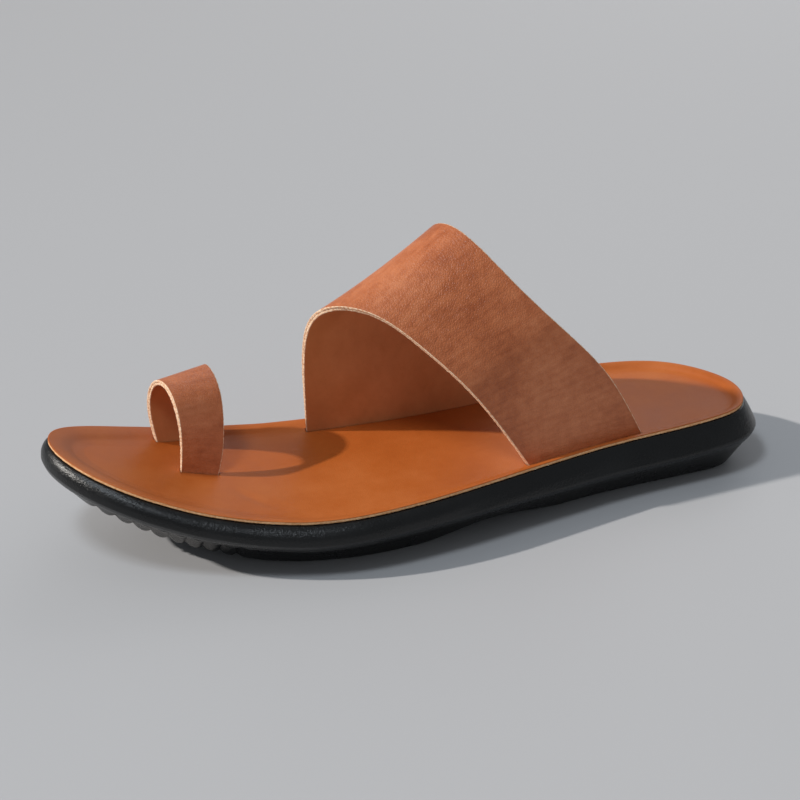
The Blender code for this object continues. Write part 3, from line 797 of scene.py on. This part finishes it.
# Bands
# The instep strap and the toe loop are mottled brown leather with a smooth brown lining glued behind it,
# and are left raw at the edges. Each goes down through two slits in the insole and is glued in the sole.
STRAP_THICKNESS = 0.0020
STRAP_RISE = 0.0770
STRAP_MESH = {"arch_rows": 190, "columns": 52, "seed": 11}
LOOP_THICKNESS = 0.0020
LOOP_RISE = 0.0300
LOOP_MESH = {"arch_rows": 130, "columns": 24, "seed": 12}
POCKET_DEPTH = 0.0035
BAND_COLUMNS = (
    "front_along", "front_across", "front_up",
    "back_along", "back_across", "back_up", "bow",
)
STRAP = (
    (0.629, -0.309, 0.000, 0.263, -0.422, 0.000, 0.055),
    (0.636, -0.240, 0.260, 0.320, -0.457, 0.300, 0.030),
    (0.640, -0.160, 0.530, 0.377, -0.462, 0.580, 0.010),
    (0.624, -0.030, 0.755, 0.437, -0.382, 0.900, 0.000),
    (0.564, 0.119, 0.775, 0.424, -0.143, 1.040, 0.000),
    (0.503, 0.236, 0.625, 0.364, 0.067, 0.840, 0.000),
    (0.448, 0.318, 0.430, 0.296, 0.171, 0.590, 0.000),
    (0.402, 0.352, 0.213, 0.230, 0.194, 0.325, 0.000),
    (0.363, 0.369, 0.000, 0.180, 0.218, 0.000, -0.008),
)
LOOP = (
    (0.850, -0.239, 0.000, 0.770, -0.344, 0.000, 0.000),
    (0.855, -0.247, 0.303, 0.770, -0.373, 0.317, 0.000),
    (0.855, -0.241, 0.600, 0.771, -0.379, 0.687, 0.000),
    (0.848, -0.189, 0.863, 0.770, -0.315, 0.973, 0.000),
    (0.837, -0.097, 0.953, 0.765, -0.193, 1.033, 0.000),
    (0.829, -0.007, 0.843, 0.761, -0.078, 0.887, 0.000),
    (0.825, 0.050, 0.597, 0.762, -0.008, 0.617, 0.000),
    (0.825, 0.063, 0.307, 0.767, 0.040, 0.293, 0.000),
    (0.828, 0.066, 0.000, 0.777, 0.075, 0.000, 0.000),
)
LEG_ROWS = 6
# The cut edge: how far in and how deep its corners lie, in shares of CORNER, and the line between the plies
CORNER = 0.00030
OUTER_CORNER = ((1.0, 0.0), (0.45, 0.12), (0.10, 0.50), (0.0, 1.0))
INNER_CORNER = ((0.0, 1.0), (0.15, 0.45), (0.6, 0.08), (1.0, 0.0))
PLY_PLACE = 0.52
PLY_GROOVE = 0.00018
PLY_REACH = 0.00022
PLY_LINE = ((0.0, -1.0), (0.6, -0.4), (1.0, 0.0), (0.6, 0.4), (0.0, 1.0))
RAGGED = 0.00011
SLIT_GAP = 0.0003
SLIT_COLUMNS = 12
SLIT_DEPTHS = (1.1, 0.5)


def open_spline(values, places):
    """Natural cubic through evenly spaced rows; places run from 0 to 1."""
    size = len(values)
    matrix = np.eye(size)
    right_side = np.zeros((size,) + values.shape[1:])
    for i in range(1, size - 1):
        matrix[i, i - 1 : i + 2] = (1, 4, 1)
        right_side[i] = 6 * (values[i - 1] - 2 * values[i] + values[i + 1])
    bend = np.linalg.solve(matrix, right_side)
    where = np.asarray(places) * (size - 1)
    i = np.clip(where.astype(int), 0, size - 2)
    t = (where - i)[:, None]
    cubic = ((1 - t) ** 3 - (1 - t)) * bend[i] + (t**3 - t) * bend[i + 1]
    return values[i] * (1 - t) + values[i + 1] * t + cubic / 6


coarse = Ring(96)


def footbed_height(x, y):
    """Height of the footbed's top, read from the distance to the insole's edge."""
    near = np.linalg.norm(coarse.edge - BOX_CENTRE - (x, y), axis=1)
    share = near.min() / coarse.band[near.argmin()]
    insets, depths = np.array(FOOTBED).T
    along = np.clip(0.5 - (y + BOX_CENTRE[1]) / LENGTH, 0, 1)
    return rim_height(np.array([along]))[0] - np.interp(share, insets, depths) * DISH


def band_face(table, rise, places, columns):
    """Outer face of a band: rows from its medial to its lateral leg, columns from front to back edge."""
    table = np.array(table)

    def edge(which):
        along, across, up = (
            table[:, BAND_COLUMNS.index(which + name)] for name in ("_along", "_across", "_up")
        )
        plan = np.column_stack([across * BALL_WIDTH, (0.5 - along) * LENGTH]) - BOX_CENTRE
        seats = [footbed_height(*plan[0]), footbed_height(*plan[-1])]
        share = np.linspace(0, 1, len(table))
        return np.column_stack([plan, seats[0] * (1 - share) + seats[1] * share + up * rise])

    front = open_spline(edge("front"), places)
    back = open_spline(edge("back"), places)
    bow = open_spline(table[:, -1:] * BALL_WIDTH, places)
    shares = np.linspace(0, 1, columns)
    face = front[:, None] * (1 - shares)[:, None] + back[:, None] * shares[:, None]
    face[:, :, 0] += bow * 4 * shares * (1 - shares)
    return face


def with_legs(face, depth):
    """The face with its two ends carried straight on, down into the sole."""
    ends = []
    for base, next_row in ((face[0], face[1]), (face[-1], face[-2])):
        way = (base - next_row) / (next_row - base)[:, 2:]
        ends.append([base + way * depth * k / LEG_ROWS for k in range(1, LEG_ROWS + 1)])
    return np.stack(ends[0][::-1] + list(face) + ends[1])


def face_normals(face):
    """Directions square to a band's outer face, pointing away from the foot."""
    normal = np.cross(np.gradient(face, axis=0), np.gradient(face, axis=1))
    normal /= np.linalg.norm(normal, axis=2)[:, :, None]
    centre = face.mean(axis=(0, 1))
    return normal if ((face - centre) * normal).sum() > 0 else -normal


def edge_profile(thickness):
    """Points round a band's cut edge, from its outer to its inner face: how far in, and how deep."""
    middle = thickness * PLY_PLACE
    rows = [(CORNER * inset, CORNER * deep) for inset, deep in OUTER_CORNER]
    rows += [(PLY_GROOVE * inset, middle + PLY_REACH * deep) for inset, deep in PLY_LINE]
    rows += [(CORNER * inset, thickness - CORNER * deep) for inset, deep in INNER_CORNER]
    return rows


def build_band(name, table, rise, thickness, arch_rows, columns, seed):
    """Closed band of leather with lining, ragged raw edges, rounded corners and its lay as a UV map."""
    depth = INSOLE_THICKNESS + GAP + POCKET_DEPTH
    face = with_legs(band_face(table, rise, np.linspace(0, 1, arch_rows), columns), depth)
    normal = face_normals(face)
    inner = face - normal * thickness
    profile = edge_profile(thickness)
    chance = np.random.default_rng(seed)

    def edge_points(column, next_column):
        in_way = face[:, next_column] - face[:, column]
        in_way = in_way / np.linalg.norm(in_way, axis=1)[:, None]
        points = []
        for inset, deep in profile:
            ragged = np.zeros(len(face))
            if inset < CORNER / 2:
                ragged = chance.uniform(-RAGGED, RAGGED, len(face))
            points.append(face[:, column] + in_way * (inset + ragged)[:, None] - normal[:, column] * deep)
        return points

    front = edge_points(0, 1)
    back = edge_points(-1, -2)
    outer_points = [face[:, c] for c in range(1, columns - 1)]
    inner_points = [inner[:, c] for c in range(columns - 2, 0, -1)]
    cut = len(profile) - 1
    # The finish of each strip between two neighbouring points: 0 the outside, 1 the lining, 2 the raw edge
    strips = [0] * (columns - 2) + [2] * cut + [1] * (columns - 1) + [2] * cut + [0]
    points = np.stack(outer_points + back + inner_points + front[::-1], axis=1)
    rows, across = points.shape[:2]
    step = np.linalg.norm(np.diff(face[:, columns // 2], axis=0), axis=1)
    along_lay = np.concatenate([[0], np.cumsum(step)])
    girth = np.linalg.norm(np.diff(points[rows // 2], axis=0), axis=1)
    across_lay = np.concatenate([[0], np.cumsum(girth)])
    faces, slots, lay = [], [], []
    for r in range(rows - 1):
        for c in range(across):
            d = (c + 1) % across
            start, end = r * across, (r + 1) * across
            faces.append((start + c, start + d, end + d, end + c))
            slots.append(strips[c])
            near = across_lay[c]
            far = across_lay[c + 1] if d else near + girth[-1]
            lay += [(along_lay[r], near), (along_lay[r], far)]
            lay += [(along_lay[r + 1], far), (along_lay[r + 1], near)]
    for base in (0, (rows - 1) * across):
        faces.append(tuple(base + c for c in range(across)))
        slots.append(2)
        lay += [(0.0, 0.0)] * across
    made = add_mesh(name, points.reshape(-1, 3), faces)
    made.data.polygons.foreach_set("material_index", slots)
    made.data.uv_layers.new(name="lay").data.foreach_set("uv", np.array(lay, dtype=np.float32).ravel())
    outward(made)
    made.data.shade_smooth()
    return made


def slit_cutters(name, table, rise, thickness):
    """A band's two legs, larger all round by the slit's gap."""
    made = []
    depth = INSOLE_THICKNESS + GAP + POCKET_DEPTH
    for side, places in (("medial", (0.0, 0.02, 0.04)), ("lateral", (1.0, 0.98, 0.96))):
        face = band_face(table, rise, np.array(places), SLIT_COLUMNS)
        way = (face[0] - face[1]) / (face[1] - face[0])[:, 2:]
        below = [face[0] + way * depth * k for k in SLIT_DEPTHS]
        whole = np.stack(below + list(face))
        for end, next_one in ((0, 1), (-1, -2)):
            out = whole[:, end] - whole[:, next_one]
            whole[:, end] += out / np.linalg.norm(out, axis=1)[:, None] * SLIT_GAP
        normal = np.cross(np.gradient(whole, axis=0), np.gradient(whole, axis=1))
        normal /= np.linalg.norm(normal, axis=2)[:, :, None]
        outwards = -1 if side == "medial" else 1
        if normal[:, :, 0].mean() * outwards < 0:
            normal = -normal
        outer, inner = whole + normal * SLIT_GAP, whole - normal * (thickness + SLIT_GAP)
        rows, columns = whole.shape[:2]
        count = rows * columns
        faces = []
        for r in range(rows - 1):
            for c in range(columns - 1):
                k = r * columns + c
                faces.append((k, k + 1, k + columns + 1, k + columns))
                faces.append((count + k, count + k + columns, count + k + columns + 1, count + k + 1))
        border = list(range(columns)) + [r * columns + columns - 1 for r in range(1, rows)]
        border += [(rows - 1) * columns + c for c in range(columns - 2, -1, -1)]
        border += [r * columns for r in range(rows - 2, 0, -1)]
        for k, start in enumerate(border):
            end = border[(k + 1) % len(border)]
            faces.append((end, start, count + start, count + end))
        points = np.concatenate([outer.reshape(-1, 3), inner.reshape(-1, 3)])
        cutter = add_mesh(name + "_" + side + "_slit", points, faces)
        outward(cutter)
        made.append(cutter)
    return made


cutters = slit_cutters("strap", STRAP, STRAP_RISE, STRAP_THICKNESS)
cutters += slit_cutters("loop", LOOP, LOOP_RISE, LOOP_THICKNESS)
for piece in (insole, sole):
    for cutter in cutters:
        slit = piece.modifiers.new(cutter.name, "BOOLEAN")
        slit.operation = "DIFFERENCE"
        slit.object = cutter
        slit.solver = "EXACT"
    shown = piece.evaluated_get(bpy.context.evaluated_depsgraph_get())
    cut_mesh = bpy.data.meshes.new_from_object(shown)
    piece.modifiers.clear()
    piece.data = cut_mesh
for cutter in cutters:
    bpy.data.objects.remove(cutter, do_unlink=True)

strap = build_band("leather_strap", STRAP, STRAP_RISE, STRAP_THICKNESS, **STRAP_MESH)
loop = build_band("leather_toe_loop", LOOP, LOOP_RISE, LOOP_THICKNESS, **LOOP_MESH)

BROWN_TONES = ((0.360, 0.088, 0.026), (0.505, 0.146, 0.051), (0.640, 0.218, 0.090))
LINING_TONES = ((0.520, 0.200, 0.070), (0.600, 0.245, 0.094), (0.670, 0.290, 0.120))
brown = hide_finish(
    "mottled_brown_leather", BROWN_TONES, clouds_per_metre=26.0, mottle=0.50, streaks=0.48,
    cells_per_metre=1050.0, relief=0.000062, rough=(0.32, 0.44), lay=(420, 60, 1),
)
lining = hide_finish(
    "brown_lining", LINING_TONES, clouds_per_metre=40.0, mottle=0.3, streaks=0.2,
    cells_per_metre=2400.0, relief=0.000014, rough=(0.46, 0.56), lay=(90, 260, 1),
)
raw = raw_finish(
    "raw_band_edge", pale=(1.0, 0.80, 0.58), deep=(0.60, 0.26, 0.11),
    strand_scale=(1300, 2600, 1), by_lay=True,
)

for band, node, slot in (
    (strap, "instep_strap", "brown_strap_leather"),
    (loop, "toe_loop", "brown_loop_leather"),
):
    for finish in (brown, lining, raw):
        band.data.materials.append(finish)
    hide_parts(node)
    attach(band, "root")
